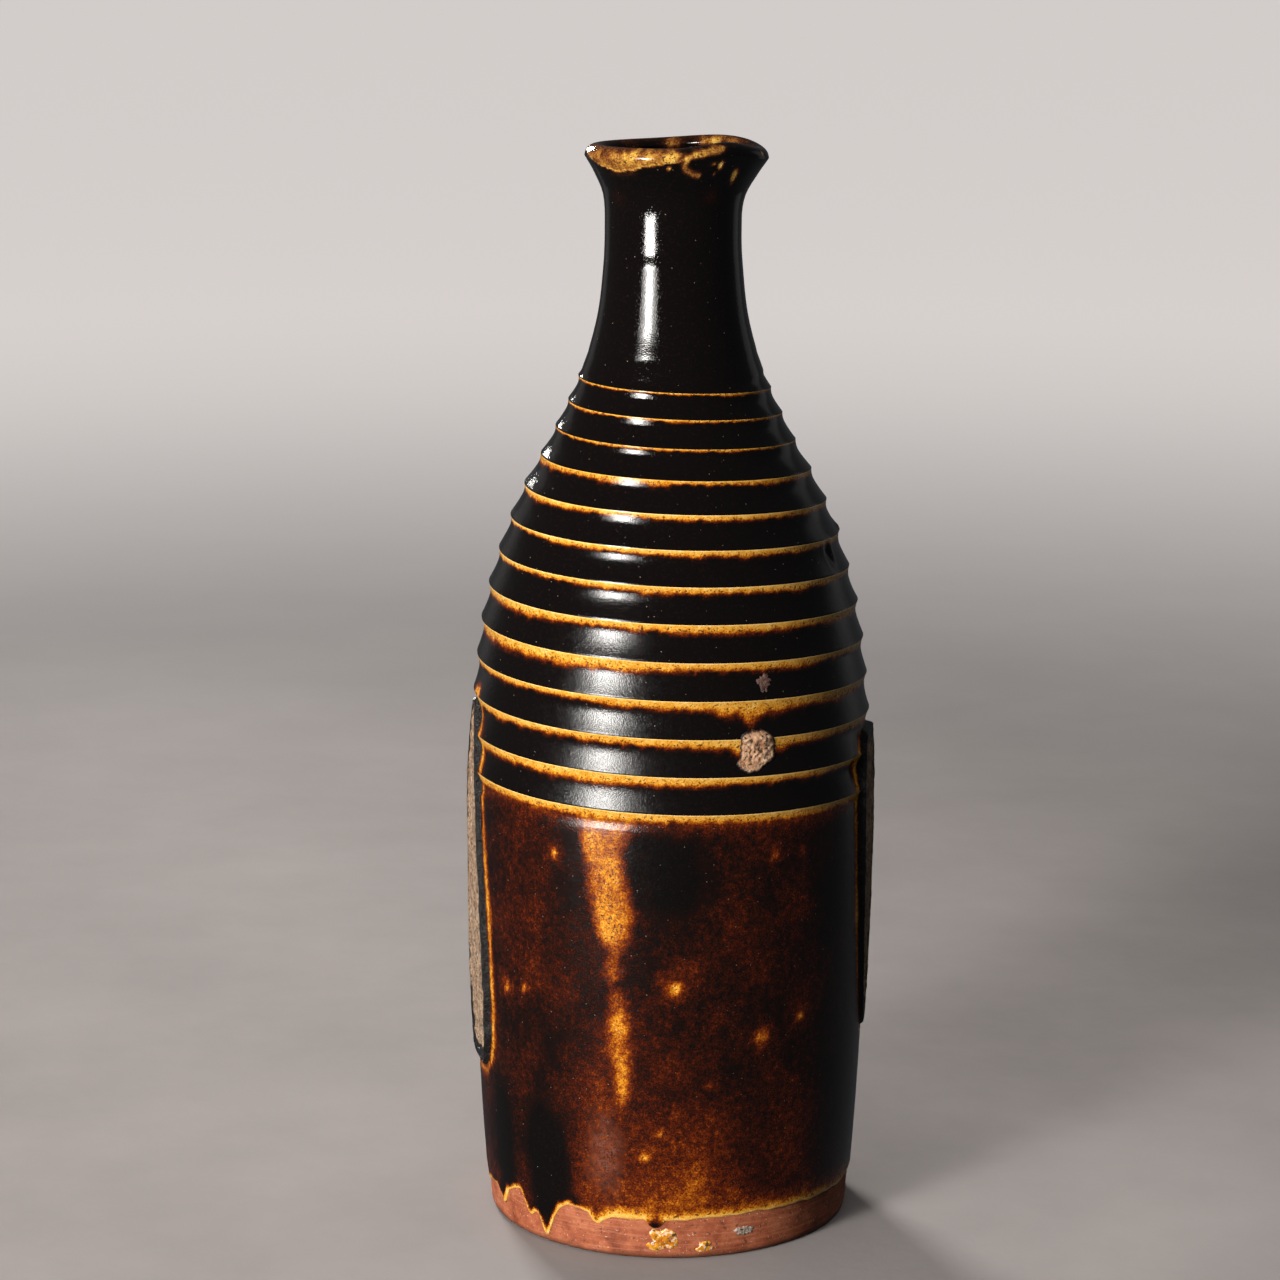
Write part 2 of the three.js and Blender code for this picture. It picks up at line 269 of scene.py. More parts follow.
SPOTS = [  # angle, height, radius, how thin
    (-123.9, 107.9, 1.3, 0.9), (-144.3, 68.9, 1.7, 0.9), (-136.2, 69.7, 1.1, 0.75),
    (-88.4, 74.6, 2, 1), (-62.6, 60.2, 2.2, 1), (-49.4, 64, 1.8, 0.6), (-93.5, 77.3, 0.9, 0.7),
    (-59.7, 109, 1.3, 0.55), (-50, 108.4, 1, 0.4), (-97, 29, 1.6, 0.85),
    (-92.5, 35, 1, 0.6), (-82, 22, 1.2, 0.6), (-74, 30, 1, 0.5), (-104, 20, 1, 0.6),
    (-88, 41, 1, 0.5), (-78, 48, 0.9, 0.4),
    (24, 84, 1.8, 0.8), (62, 52, 2.2, 0.9), (101, 92, 1.5, 0.7), (140, 40, 2, 0.8),
    (33, 47, 1.4, 0.6), (112, 63, 1.6, 0.8), (158, 104, 1.3, 0.7),
]
DARK_RUNS = [  # angle, half width, how dark, lowest and highest height
    (-131.5, 5.4, 0.36, 8, 52), (-123.5, 4.6, 0.3, 8, 44), (-149, 6, 0.34, 8, 50),
    (-128, 4, 0.16, 44, 74), (36, 6, 0.25, 8, 60), (124, 5, 0.28, 4, 70),
    (98, 4, 0.2, 8, 44),
]


def perlin(angle, z, size, seed):
    """Smooth noise over the wall, from about -1 to 1, with features of a size in millimetres."""
    turn = np.radians(angle)
    r = outside_radius(np.clip(z, 0, 282)) / size
    points = np.stack([r * np.cos(turn) + seed, r * np.sin(turn) - seed, z / size + 2 * seed], axis=-1)
    flat = [noise.noise(Vector(p)) for p in points.reshape(-1, 3)]
    return np.array(flat).reshape(np.shape(z))


def noise_round(turns, size, seed):
    """Smooth noise round a circle, from about -1 to 1: the larger the size, the busier."""
    return np.array([noise.noise(Vector((size * math.cos(t), size * math.sin(t), seed))) for t in turns])


def roughness(angle, z, *layers):
    """Layers of noise over the wall: each is its height, the size of its features and its seed."""
    return sum(height * perlin(angle, z, size, seed) for height, size, seed in layers)


SCARS = {  # node: angle, middle height, half height, widest half angle, lean, bluntness, flipped
    "kiln_scar_left": (-168, 92, 50, 13, 0.45, 0.5, 1),
    "kiln_scar_right": (-8, 92.5, 41.5, 14, 0.5, 0.5, -1),
}


def scar_half(name, z):
    _, middle, half, widest, lean, blunt, flip = SCARS[name]
    along = np.clip((flip * (z - middle) / half + 1) / 2, 0.003, 0.997)
    return widest * np.sin(math.pi * along ** lean) ** blunt


def scar_distance(angle, z):
    """Distance outside the nearer kiln scar's outline, in millimetres."""
    best = np.full(np.shape(z), FAR)
    for name, (at, middle, half, *_rest) in SCARS.items():
        per_degree = math.radians(1) * outside_radius(z)
        beside = (np.abs(away(angle, at)) - scar_half(name, z)) * per_degree
        beyond = np.abs(z - middle) - half
        best = np.minimum(best, np.where(beyond > 0, np.hypot(np.maximum(beside, 0), beyond), beside))
    return best


def run_distance(angle, z, run):
    """Distance outside an amber run's outline, in millimetres, negative inside it."""
    height, left, right = np.array(run[::-1]).T
    at = np.clip(z, height[0], height[-1])
    beside = np.maximum(np.interp(at, height, left) - angle, angle - np.interp(at, height, right))
    beside = beside * math.radians(1) * outside_radius(at)
    beyond = np.abs(z - at)
    return np.where(beyond > 0, np.hypot(np.maximum(beside, 0), beyond), beside)


def path_distance(angle, z, path):
    """Distance from a path drawn on the wall, in millimetres."""
    best = np.full(np.shape(z), FAR)
    scale = math.radians(1) * outside_radius(path[0][1])
    for (a0, z0), (a1, z1) in zip(path, path[1:]):
        dx, dz = away(a1, a0) * scale, z1 - z0
        x, y = away(angle, a0) * scale, z - z0
        along = np.clip((x * dx + y * dz) / (dx * dx + dz * dz), 0, 1)
        best = np.minimum(best, np.hypot(x - along * dx, y - along * dz))
    return best


def thin_out(thick, share, to):
    """Moves a thickness towards another by a share."""
    return thick + np.clip(share, 0, 1) * (to - thick)


# The lip: the lower edge of its amber, a curled ridge of glaze, and pale flecks
LIP_EDGE = [
    (-180, 283.4), (-170, 283.2), (-162, 282.6), (-153, 280.8), (-147, 279.7), (-140, 279.2),
    (-126.6, 279.1), (-114.8, 279.7), (-104.4, 280.6), (-95, 281.2), (-86, 281.6), (-80, 282.4),
    (-72, 283.4), (-40, 284.2), (0, 284), (30, 282.4), (60, 281), (100, 280.4), (140, 282),
    (180, 283.4),
]
LIP_CURL = [
    (-56.9, 283.7), (-68.8, 283.2), (-76.7, 283), (-80.8, 282.3), (-82.8, 280.9), (-81.5, 279.5),
    (-77.2, 278.4), (-72.4, 277.9),
]
LIP_FLECKS = [  # angle, height, half width and half height, how pale
    (-56.4, 279.6, 0.75, 0.9, 0.05), (-41, 277, 1, 1.5, 0.15), (-93.3, 280, 0.6, 0.5, 0.1),
    (-60, 277.7, 0.4, 0.4, 0.3), (-18, 283.2, 0.7, 0.7, 0.12), (-62, 280.2, 0.9, 0.35, 0.4),
    (40, 279, 0.9, 1.1, 0.2), (118, 279.6, 0.8, 0.8, 0.25),
]


def ridge_coat(angle, fall, turns, medium, fine):
    """The glaze over the ridges: pale on the crest, amber under it, then quickly black."""
    wide = 0.64 + 0.85 * smooth(turns, 2.3, 2.9) + 0.85 * smooth(turns, 5.5, 8.5)
    line = np.round(turns - turned_by(angle) - 0.35)
    wide = wide * (1 + wave(angle + 83 * line, (1, 0.16, 0), (3, 0.1, 60), (7, 0.06, 0)))
    wide = wide + 0.6 * bump(line, 7, 0.6) + 0.55 * medium * smooth(wide, 0.8, 2) + 0.4 * fine
    spill = np.exp(-(np.abs(away(angle, -66)) / 9) ** 3) * (bump(line, 9, 0.6) + 0.8 * bump(line, 10, 0.6))
    wide = np.maximum(wide + (2.4 + 1.6 * medium) * spill, 0.4)
    across = fall / wide
    thick = 0.03 + 0.13 * (1 - smooth(turns, 1.5, 4.5)) + 0.14 * smooth(fall, 0.05, 0.45)
    thick = thick + 0.14 * smooth(across, 0.35, 0.9) + 0.12 * smooth(across, 0.1, 1) * spill
    return thick + 0.3 * smooth(across, 0.75, 1.05) + 0.45 * smooth(across, 1, 1.45)


def lower_wall_coat(angle, z, slow, medium):
    """The glaze below the ridges: deep red-brown, with darker runs and lighter speckling low down."""
    thick = 0.845 + 0.13 * slow + 0.08 * medium
    thick = thick + 0.16 * spot(angle, z, (-94, 109), 11, 9) + 0.16 * spot(angle, z, (-91, 100), 8, 7)
    thick = thick - 0.03 * spot(angle, z, (-130, 80), 16, 26) - 0.07 * spot(angle, z, (-90, 52), 16, 22)
    low = smooth(-z, -52, -14)
    thick = thick - low * (0.07 + 0.17 * bump(angle, -86, 27) + 0.06 * bump(angle, 75, 40) + 0.18 * medium)
    thick = thick - 0.05 * smooth(-z, -24, -12)
    thick = thick - 0.1 * spot(angle, z, (-113, 44), 7, 16)
    for at, half, dark, lowest, highest in DARK_RUNS:
        seen = smooth(z, lowest - 4, lowest + 2) * (1 - smooth(z, highest * 0.5, highest))
        thick = thick + dark * seen * bump(angle, at + 1.2 * slow, half)
    return thick + 0.12 * smooth(np.abs(away(angle, -100)), 55, 90)


def lip_coat(thick, angle, z, medium, fine):
    """The outside of the lip: amber down to its edge, with a curl and flecks of glaze under it."""
    edge = np.interp(wrapped(angle), *np.array(LIP_EDGE).T)
    up = z - edge + 0.35 * medium
    band = 0.41 + 0.16 * medium + 0.16 * fine + 0.22 * smooth(z, 283.2, 284.4)
    right_side = smooth(wrapped(angle), -92, -78) * (1 - smooth(wrapped(angle), 10, 40))
    band = band - 0.1 * bump(angle, -102, 16) + 0.28 * right_side
    thick = thin_out(thick, smooth(up, -0.25, 0.15), np.clip(band, 0.12, 1))
    thick = thin_out(thick, smooth(up, -2.4, -0.2) * (0.25 + 0.6 * medium) * bump(angle, -130, 26), 0.5)
    bead = 0.9 * (1 - smooth(np.abs(up - 0.15), 0.15, 0.45)) * bump(angle, -118, 42)
    thick = thin_out(thick, bead, 0.2 + 0.15 * fine)
    curl = path_distance(angle, z, LIP_CURL) + 0.35 * fine + 0.3 * medium
    thick = thin_out(thick, 0.9 * (1 - smooth(curl, 0.3, 1.5)), 0.27 + 0.2 * fine)
    for at, height, half_x, half_z, pale in LIP_FLECKS:
        thick = thin_out(thick, 1.5 * spot(angle, z, (at, height), half_x, half_z), pale)
    for at in ((-57, 272.3), (-178, 271), (-140, 272), (-30, 268)):
        thick = thin_out(thick, 0.28 * spot(angle, z, at, 2.2, 1.6), 0.55)
    return thick


def throat_coat(thick, angle, z, medium, fine):
    """Inside the mouth: dark, with a golden patch along one side of the rim."""
    gold = bump(angle, 48, 24) + 0.55 * bump(angle, 92, 9) + 0.25 * bump(angle, 130, 14)
    gold = gold * smooth(z + medium, 282.2, 283.4) * (0.9 + 0.8 * medium)
    thick = thin_out(thick, gold, 0.26 + 0.2 * fine)
    return thin_out(thick, 0.45 * smooth(z, 283.6, 284.7), 0.62)


def coat(angle, z, fall, turns, inner=False):
    """Thickness of the glaze: 0 is pale amber, 0.6 red-brown, 1 black. fall is the distance below
    the crest of the ridge, in millimetres."""
    angle, z, fall = np.broadcast_arrays(wrapped(angle), z, fall)
    slow = perlin(angle, z, 14, 3.1)
    medium = perlin(angle, z, 4.2, 7.7)
    fine = perlin(angle, z, 1.7, 1.3)
    thick = np.full(z.shape, 1.0)

    # below the last crest the black opens into red-brown
    under = last_crest(angle) - z
    thick = thin_out(thick, smooth(under, 0, 3), lower_wall_coat(angle, z, slow, medium))
    amber_fall = smooth(under, 0.3, 1) * (1 - smooth(under, 1.5, 7 + 3 * slow))
    thick = thin_out(thick, 0.55 * amber_fall, 0.42)
    on_ridges = (turns > FIRST_TURN) & (turns < LAST_TURN) & (fall < 9)
    show = smooth(turns, FIRST_TURN, FIRST_TURN + 0.12)
    lines = ridge_coat(angle, fall, turns, medium, fine)
    thick = np.where(on_ridges, np.minimum(thick, 1 - show * (1 - lines)), thick)

    for run in RUNS:
        gap = run_distance(angle, z, run) + 0.55 * medium + 0.5 * fine
        run_coat = 0.35 + 0.05 * smooth(-z, -85, -70) + 0.12 * medium + 0.07 * slow
        run_coat = run_coat + 0.22 * smooth(gap, -1.9, 0.6) + 0.5 * smooth(gap, 0.2, 3.4)
        run_coat = thin_out(run_coat, 1 - smooth(under, 0.4, 1.6), 1)
        thick = np.where(gap < 3.4, np.minimum(thick, run_coat), thick)
    for at, height, radius, thin in SPOTS:
        place = (at, height)
        halo = spot(angle + 0.6 * fine, z + 0.5 * medium, place, 1.7 * radius)
        thick = thin_out(thick, 0.75 * thin * halo, 0.46)
        thick = thin_out(thick, 1.3 * thin * spot(angle, z + 0.3 * fine, place, 0.62 * radius), 0.16)
    for at in ((-144.6, 69.2), (-62.1, 60.9)):
        thick = thin_out(thick, 0.9 * spot(angle, z, at, 0.75), 0.95)

    # the glaze line: a bright rim where the pour ended, brown above it
    up = z - glaze_line(angle)
    if np.min(up) < 9:
        up = np.minimum(np.abs(up), path_distance(angle, z, GLAZE_EDGE))
    black_side = 1 - smooth(wrapped(angle), -116, -108) + smooth(wrapped(angle), 25, 40)
    broad = 1.6 + 0.5 * medium + 0.3 * fine - 0.6 * black_side + 1.3 * bump(angle, -102, 9)
    across = up / np.maximum(broad, 0.3)
    rim = 0.1 + 0.25 * smooth(across, 0.35, 1) + (0.18 + 0.55 * black_side) * smooth(across, 0.9, 1.7)
    rim = rim + 0.25 * smooth(up, 2.2, 6.5)
    thick = np.where(up < 6.5, np.minimum(thick, rim), thick)
    thick = thin_out(thick, 1.2 * spot(angle, z, (-93.9, 9.9), 1.9, 1.3), 0.97)
    gap = scar_distance(angle, z)
    line = np.abs(gap - 1.5 - 0.35 * medium)
    line = 0.27 + 0.2 * slow + 0.15 * medium + 0.3 * smooth(line, 0.4, 1.3) + 0.4 * smooth(line, 1.2, 3.4)
    thick = np.where(gap < 6, np.minimum(thick, line), thick)
    if np.min(z) > 262:
        lip = throat_coat if inner else lip_coat
        thick = lip(thick, angle, z, medium, fine)
    return np.clip(thick, 0, 1)


# ---- turning grids into meshes


def new_mesh(name, points, faces, corners=None):
    """A smooth-shaded object from points in millimetres, with float attributes on its corners."""
    mesh = bpy.data.meshes.new(name)
    mesh.from_pydata([tuple(p) for p in np.asarray(points) * MM], [], faces)
    for key, values in (corners or {}).items():
        layer = mesh.attributes.new(key, "FLOAT", "CORNER")
        layer.data.foreach_set("value", np.asarray(values, np.float32))
    mesh.shade_smooth()
    piece = bpy.data.objects.new(name, mesh)
    bpy.context.scene.collection.objects.link(piece)
    return piece


def grid_piece(name, angles, r, z, values=None):
    """A closed turned surface. r and z hold a column for each angle, the first repeated last, and
    values one number for each face corner, given above and below each row."""
    columns, rows = r.shape
    turn = np.radians(angles)[:, None]
    points = np.stack([r * np.cos(turn), r * np.sin(turn), z], axis=-1).reshape(-1, 3)
    _, first, same = np.unique(np.round(points, 4), axis=0, return_index=True, return_inverse=True)
    i, j = np.meshgrid(np.arange(columns - 1), np.arange(rows - 1), indexing="ij")
    a = (i * rows + j).reshape(-1)
    quads = np.stack([a, a + rows, a + rows + 1, a + 1], axis=-1)
    welded = same.reshape(-1)[quads]
    kept_values = {key: [] for key in values or {}}
    faces = []
    for number, quad in enumerate(welded):
        kept = [c for c in range(4) if quad[c] != quad[c - 1]]
        if len(kept) < 3:
            continue
        faces.append([int(quad[c]) for c in kept])
        for key, (upper, lower) in (values or {}).items():
            source = (upper, upper, lower, lower)
            kept_values[key].extend(source[c][quads[number][c]] for c in kept)
    return new_mesh(name, points[first], faces, kept_values)


def turned(name, angles, rows):
    """A closed turned surface from rows of radius and height, pushed out of round with the rim."""
    r, z = (np.array([np.broadcast_to(row[k], len(angles)) for row in rows], float).T for k in (0, 1))
    return grid_piece(name, angles, *warped(angles[:, None], r, z))


def ring_angles(count):
    return FRONT + 360 * np.arange(count + 1) / count


def front_angles():
    """Columns from the front once round to the front again, closest where the glaze ran down."""
    # each stretch's first angle and the step within it
    stops = [(-90, 1.2), (-28, 0.75), (-17, 2), (-5, 2.5), (170, 1.6), (188, 0.72), (252, 1.1), (270, 0)]
    parts = []
    for (start, step), (end, _) in zip(stops, stops[1:]):
        parts.append(np.linspace(start, end, round((end - start) / step), endpoint=False))
    return np.concatenate(parts + [[270]])


# Rows of the glaze: parts of the pitch below each crest, rises above the lower edge, rows of the
# plain lower wall, heights on the neck, and the lip's rounding, as angles from straight out
PARTS = [0, 0.035, 0.08, 0.13, 0.19, 0.27, STEP, 0.5, 0.62, 0.74, 0.85, 0.94]
EDGE_RISES = [0, 0.12, 0.35, 0.7, 1.2, 2, 3, 4.2]
LOWER_ROWS = 52
NECK_STRETCHES = [
    (227, 229, 2), (230, 233, 6), (235, 251, 10), (252, 260, 17), (262, 275.5, 9), (276, 282, 13),
]
NECK_ROWS = np.concatenate([np.linspace(*stretch) for stretch in NECK_STRETCHES])
LIP_LEANS = np.radians(np.linspace(12, 162, 16))
LIP_MIDDLE_R = 20.0
LIP_ROUND = 2.92
LIP_INNER_REACH = 2.6
INNER_FROM = math.radians(105)  # past this the lip belongs to the throat
ROUNDED_EDGE = 1.2
THROAT_END = THROAT_SEAM + 0.3


def glaze_rows(angles):
    """Rows of the outer glaze from its lower edge up over the lip and down into the throat. Gives
    r and z, and the coat's thickness just below and just above each row."""
    columns = len(angles)
    turn = (angles - angles[0]) / 360
    line = glaze_line(angles)
    r_rows, z_rows, under, over = [], [], [], []

    def add(r, z, fall_under, fall_over, turns, inner=False):
        r_rows.append(np.broadcast_to(r, columns))
        z_rows.append(np.broadcast_to(z, columns))
        under.append(coat(angles, z_rows[-1], fall_under, turns, inner))
        over.append(under[-1] if fall_over is fall_under else coat(angles, z_rows[-1], fall_over, turns))

    foot = np.full(columns, LAST_TURN + 1)
    neck = np.full(columns, FIRST_TURN - 1)
    # the edge swells from nothing to the coat's full thickness
    for rise in EDGE_RISES:
        z = line + rise
        swell = np.clip(rise / ROUNDED_EDGE, 0, 1)
        full = GLAZE * (swell * (2 - swell)) ** 0.5
        blob = 0.25 * spot(angles, z, (-93.9, 9.6), 2.4, 2)
        add(outside_radius(z) - GLAZE + full + blob + wall_detail(angles, z), z, FAR, FAR, foot)
    start = line + EDGE_RISES[-1]
    for k in range(1, LOWER_ROWS):
        z = start + (spiral_height(LAST_TURN) - start) * k / LOWER_ROWS
        add(outside_radius(z) + wall_detail(angles, z), z, FAR, FAR, foot)
    shifts = [whole + part for whole in range(-2, 13) for part in PARTS]
    for shift in sorted(shifts, reverse=True):
        turns = np.clip(shift + turn, FIRST_TURN, LAST_TURN)
        z = spiral_height(turns)
        part = shift % 1.0
        pitch = pitch_at(np.floor(turns - turn))
        r = outside_radius(z) + ridge(part, turns, angles) + wall_detail(angles, z)
        below = part * pitch
        above = pitch if part < 1e-6 else below
        add(r, z, below, above, turns)
    for z in NECK_ROWS:
        add(outside_radius(z) + wall_detail(angles, z), z, FAR, FAR, neck)
    for lean in LIP_LEANS:
        reach = LIP_R - LIP_MIDDLE_R if lean < math.pi / 2 else LIP_INNER_REACH
        z = RIM_Z - 3 + LIP_ROUND * math.sin(lean)
        r = LIP_MIDDLE_R + reach * math.cos(lean) + 0.4 * wall_detail(angles, z)
        add(r, z, FAR, FAR, neck, inner=lean > INNER_FROM)
    for z in np.linspace(281.5, THROAT_END, 9):
        add(inside_radius(z), z, FAR, FAR, neck, inner=True)
    return [np.array(rows).T for rows in (r_rows, z_rows, under, over)]


def outer_glaze():
    angles = front_angles()
    r, z, under, over = glaze_rows(angles)
    # the unseen inner face, back down to the lower edge
    back = [(inside_radius(height) + GLAZE, height) for height in (THROAT_END, 274, 280)]
    back += [(18.4, 283.2), (20.8, 283.6)]
    for height in (281, 276, 268, 255, 240, 225, 210, 195, 180, 165, 150, 130, 110, 85, 60, 35, 20):
        back.append((outside_radius(height) - CLAY_UNDER, height))
    edge = glaze_line(angles)
    back += [(outside_radius(edge + rise) - CLAY_UNDER, edge + rise) for rise in (3, 0.6)]
    back.append((r[:, 0], z[:, 0]))
    back_r, back_z = ([np.broadcast_to(row[k], len(angles)) for row in back] for k in (0, 1))
    r = np.hstack([r, np.array(back_r).T])
    z = np.hstack([z, np.array(back_z).T])
    fill = np.full((len(angles), len(back)), 0.9)
    under = np.hstack([under, fill]).reshape(-1)
    over = np.hstack([over, fill]).reshape(-1)
    return grid_piece("glaze_coat", angles, *warped(angles[:, None], r, z), {"coat": (over, under)})


def clay_body():
    """The bare foot and base; above the glaze line it lies hidden under the glaze."""
    angles = ring_angles(192)
    chips = noise_round(np.radians(angles), 9, 4)
    chips[-1] = chips[0]
    rows = [(0, BASE_HOLLOW)]
    rows += [(r, BASE_HOLLOW * (1 - smooth(r, 30, 44))) for r in (6, 14, 22, 30, 38, 44)]
    rows.append((BASE_R - GLAZE - 1.9 + 0.1 * chips, 0))
    for lean in np.radians((20, 45, 70, 90)):
        inwards, up = FOOT_ROUND * (1 - math.sin(lean)), FOOT_ROUND * (1 - math.cos(lean))
        rows.append((outside_radius(up) - GLAZE - inwards + 0.22 * np.minimum(chips, 0), up))
    for z in np.linspace(2.2, 17, 26):
        groove = 0.05 * math.sin(z * 4.1) + 0.04 * math.sin(z * 7.7 + 1)
        rows.append((outside_radius(z) - GLAZE + groove + 0.04 * chips, z))
    for z in (19, 30, 50, 70, 90, 110, 130, 150, 165, 180, 195, 210, 225, 240, 255, 268, 276, 280.5):
        rows.append((outside_radius(z) - CLAY_UNDER + CLEAR, z))
    rows += [(20.7, 283.4), (18.5, 283)]
    for z in (280, 274, THROAT_SEAM + 0.25):
        rows.append((inside_radius(z) + GLAZE + CLEAR, z))
    rows.append((inside_radius(THROAT_SEAM) + 0.12, THROAT_SEAM + 0.12))
    for z in (THROAT_SEAM - 0.2, 262, 250, 238, 226, 214, 200, 186, 172, 150, 120, 80, 45, 22):
        rows.append((inside_radius(z) + GLAZE + CLEAR, z))
    rows += [floor_corner(lean, FLOOR_FILLET + GLAZE) for lean in (30, 60, 90)]
    rows.append((0, FLOOR_Z - GLAZE))
    return turned("clay_foot_and_wall", angles, rows)


def floor_corner(lean, reach):
    """Radius and height on the rounding between wall and floor, at a lean below level."""
    lean = math.radians(lean)
    middle = FLOOR_Z + FLOOR_FILLET
    return inside_radius(middle) - FLOOR_FILLET + reach * math.cos(lean), middle - reach * math.sin(lean)


def inner_glaze():
    """The inner pour, with the rings that the potter's fingers left in the wall under it."""
    angles = ring_angles(128)
    turn = (angles - angles[0]) / 360
    rows = []
    low = FLOOR_Z + FLOOR_FILLET
    for z in np.linspace(THROAT_SEAM, low, 110):
        ring = 0.35 * np.sin(2 * math.pi * (z / 8.5 + turn))
        ring = ring * smooth(z, low, 40) * (1 - smooth(z, 235, 262))
        rows.append((inside_radius(z) + np.minimum(ring, 0.2), z))
    rows += [floor_corner(lean, FLOOR_FILLET) for lean in (15, 30, 45, 60, 75, 90)]
    centre = inside_radius(low) - FLOOR_FILLET
    for share in (0.8, 0.6, 0.4, 0.2, 0.05, 0):
        swirl = 0.25 * np.sin(2 * math.pi * (share * 4 + turn))
        swirl = swirl * smooth(share, 0, 0.3) * (1 - smooth(share, 0.7, 0.9))
        rows.append((centre * share, FLOOR_Z + swirl))
    # the unseen face against the clay
    rows.append((0, FLOOR_Z - GLAZE))
    rows += [floor_corner(lean, FLOOR_FILLET + GLAZE - 0.02) for lean in (90, 45, 0)]
    for z in (60, 100, 140, 170, 190, 205, 220, 235, 250, 262, THROAT_SEAM):
        rows.append((inside_radius(z) + GLAZE - 0.02, z))
    rows.append(rows[0])
    return turned("inside_glaze_coat", angles, rows)


# ---- what the kiln left on the wall


def wall_face(angle, z):
    """The glazed wall's radius with its ridge, at any angle and height."""
    turns = turns_at(z)
    part = (turns - turned_by(angle)) % 1.0
    return outside_radius(z) + ridge(part, turns, angle) + wall_detail(angle, z)


SCAR_MM_PER_DEGREE = 0.92  # round the wall under the scars
SCAR_SINK = 0.25
CRUST_SINK = 0.12


def two_sided(name, top, seat, faces, border, rim):
    """A closed crust: faces on top, the same turned over where it sits, and a wall round its border.
    rim holds a value for each point: 1 at the edge, 0 well inside it."""
    count = len(top)
    sides = list(faces)
    sides += [[count + corner for corner in (face[0], *face[:0:-1])] for face in faces]
    sides += [(a, count + a, count + b, b) for a, b in zip(border, border[1:] + border[:1])]
    both = np.concatenate([rim, rim])
    return new_mesh(name, np.vstack([top, seat]), sides, {"rim": [both[v] for face in sides for v in face]})


def on_wall(r, angle, z):
    """Points for a radius at each angle and height."""
    turn = np.radians(angle)
    return np.stack([r * np.cos(turn), r * np.sin(turn), z], axis=-1).reshape(-1, 3)


def kiln_scar(node):
    at, middle, half, *_rest, flip = SCARS[node]
    v = -np.cos(np.linspace(0, math.pi, 150))[:, None]
    u = np.sin(np.linspace(-math.pi / 2, math.pi / 2, 61))[None, :]
    rows, columns = len(v), u.shape[1]
    z = middle + half * np.repeat(v, columns, axis=1)
    wander = scar_half(node, z) * u
    wander = wander * (1 + roughness(at + wander, z, (0.07, 5, 2.2), (0.03, 1.6, 5.2)))
    angle = at + wander
    # millimetres in from the outline, counted slower from the ends
    edge = (1 - np.abs(u)) * scar_half(node, z) * SCAR_MM_PER_DEGREE
    inside = np.minimum(edge, 0.6 * (1 - np.abs(v)) * half)
    seat = wall_face(angle, z)
    plane = (outside_radius(z) + 0.6) / np.cos(np.radians(0.8 * wander)) + 0.15 * smooth(z, 112, 120)
    rough = roughness(angle, z, (0.28, 3.2, 4.4), (0.22, 1.3, 8.1), (0.12, 0.6, 2.9))
    lip = 0.5 * np.exp(-((inside - 1) / 0.7) ** 2)
    stand = np.maximum(plane - seat + lip + rough * smooth(inside, 0.5, 1.6), 0.25)
    top = seat + smooth(inside, 0, 0.8) * stand
    side = np.abs(node_box(node))[:, 0].max() - 0.02
    top = np.minimum(top, side / np.abs(np.cos(np.radians(angle))))
    wide = 1.3 + 1.5 * smooth(flip * (middle - z), 0.55 * half, half)
    rim = 1 - smooth(inside + 0.7 * perlin(angle, z, 2.4, 6.6), 0.6 * wide, 1.5 * wide)
    corners = [j * columns + i for j in range(rows - 1) for i in range(columns - 1)]
    faces = [(a, a + 1, a + columns + 1, a + columns) for a in corners]
    last = rows * columns - 1
    border = [*range(columns), *range(2 * columns - 1, last, columns)]
    border += [*range(last, last - columns, -1), *range(last - 2 * columns + 1, 0, -columns)]
    points = on_wall(top, angle, z), on_wall(seat - SCAR_SINK, angle, z)
    return two_sided(node.replace("kiln_scar", "broken_clay_scar"), *points, faces, border, rim.reshape(-1))


# Outlines of the crusts, as shares of half their width and height; the rest are ragged ovals
OUTLINES = {
    "shoulder_grit": [
        (-0.67, 0.88), (-0.07, 1), (0.88, 0.97), (0.97, 0.37), (1, -0.3), (0.79, -0.56), (0.36, -0.73),
        (0.1, -0.95), (-0.67, -0.98), (-1, -0.78), (-0.93, -0.47), (-0.67, -0.3), (-0.72, 0.37),
    ],
    "foot_splash_front": [
        (-0.55, 0.95), (-0.1, 0.75), (0.3, 1), (0.75, 0.9), (0.9, 0.3), (1, -0.4), (0.7, -0.85),
        (0.25, -0.7), (-0.3, -1), (-0.95, -0.8), (-0.9, -0.35), (-0.5, -0.1), (-0.75, 0.5),
    ],
    "foot_splash_right": [
        (-0.5, 0.8), (0.2, 1), (0.75, 0.7), (0.6, 0.1), (1, -0.5), (0.3, -0.9), (-0.6, -1),
        (-1, -0.4), (-0.55, 0.1),
    ],
}
HALF_WIDTHS = {  # millimetres round the wall
    "shoulder_grit": 5.85, "shoulder_grit_small": 2.3, "foot_splash_front": 4.5, "foot_splash_right": 2.7,
    "foot_crust": 3.2,
}


